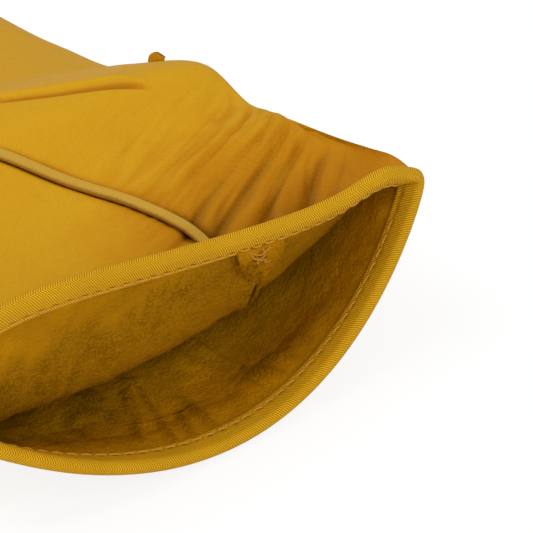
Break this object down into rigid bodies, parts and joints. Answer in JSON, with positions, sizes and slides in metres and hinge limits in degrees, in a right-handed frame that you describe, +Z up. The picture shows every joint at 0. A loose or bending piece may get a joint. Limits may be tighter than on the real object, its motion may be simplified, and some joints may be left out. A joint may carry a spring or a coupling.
{
  "type": "leather work glove",
  "caption": "Soft leather work glove lying palm up, its gathered cuff bound in woven tape, with a welted thumb seam and fingers that bend at soft creases.",
  "frame": {"origin": "on the table under the middle of the back panel", "axes": "+Y from the cuff to the fingertips, +X towards the little finger, +Z up out of the palm"},
  "size_m": [0.1746, 0.2585, 0.0457],
  "materials": {
    "leather": "soft golden grain leather",
    "flesh_side": "napped flesh side of the leather",
    "binding_tape": "yellow twill-woven tape",
    "thread": "orange sewing thread",
    "elastic": "off-white woven elastic"
  },
  "bodies": {
    "hand": {"palm_panel": "leather", "back_panel": "leather", "thumb_gusset": "leather", "thumb_welt": "leather", "welt_tongue": "flesh_side", "cuff_binding": "binding_tape", "binding_stitches_outside": "thread", "binding_stitches_inside": "thread", "wrist_elastic": "elastic", "elastic_stitches": "thread", "side_tab": "leather", "finger_crotches": "leather", "index_crease": "leather", "middle_crease": "leather", "ring_crease": "leather", "little_crease": "leather", "thumb_crease": "leather"},
    "index_finger": {"index_front": "leather", "index_back": "leather", "index_strip_thumb_side": "leather", "index_strip_little_side": "leather"},
    "middle_finger": {"middle_front": "leather", "middle_back": "leather", "middle_strip_thumb_side": "leather", "middle_strip_little_side": "leather"},
    "ring_finger": {"ring_front": "leather", "ring_back": "leather", "ring_strip_thumb_side": "leather", "ring_strip_little_side": "leather"},
    "little_finger": {"little_front": "leather", "little_back": "leather", "little_strip_thumb_side": "leather", "little_strip_little_side": "leather"},
    "thumb": {"thumb_front": "leather", "thumb_back": "leather"}
  },
  "joints": [
    {"name": "index_bend", "type": "hinge", "parent": "hand", "child": "index_finger", "pos_m": [-0.03961, 0.08797, 0.01258], "axis": [0.9962, 0.0872, 0], "range_deg": [0, 60], "deforming": ["index_crease"]},
    {"name": "middle_bend", "type": "hinge", "parent": "hand", "child": "middle_finger", "pos_m": [-0.01318, 0.088, 0.01257], "axis": [0.9997, 0.0262, 0], "range_deg": [0, 60], "deforming": ["middle_crease"]},
    {"name": "ring_bend", "type": "hinge", "parent": "hand", "child": "ring_finger", "pos_m": [0.01324, 0.088, 0.01258], "axis": [0.9994, -0.0349, 0], "range_deg": [0, 60], "deforming": ["ring_crease"]},
    {"name": "little_bend", "type": "hinge", "parent": "hand", "child": "little_finger", "pos_m": [0.03973, 0.08796, 0.01263], "axis": [0.9945, -0.1045, 0], "range_deg": [0, 60], "deforming": ["little_crease"]},
    {"name": "thumb_bend", "type": "hinge", "parent": "hand", "child": "thumb", "pos_m": [-0.07924, 0.02506, 0.01579], "axis": [0.788, 0.6157, 0], "range_deg": [0, 40], "deforming": ["thumb_crease"]}
  ]
}
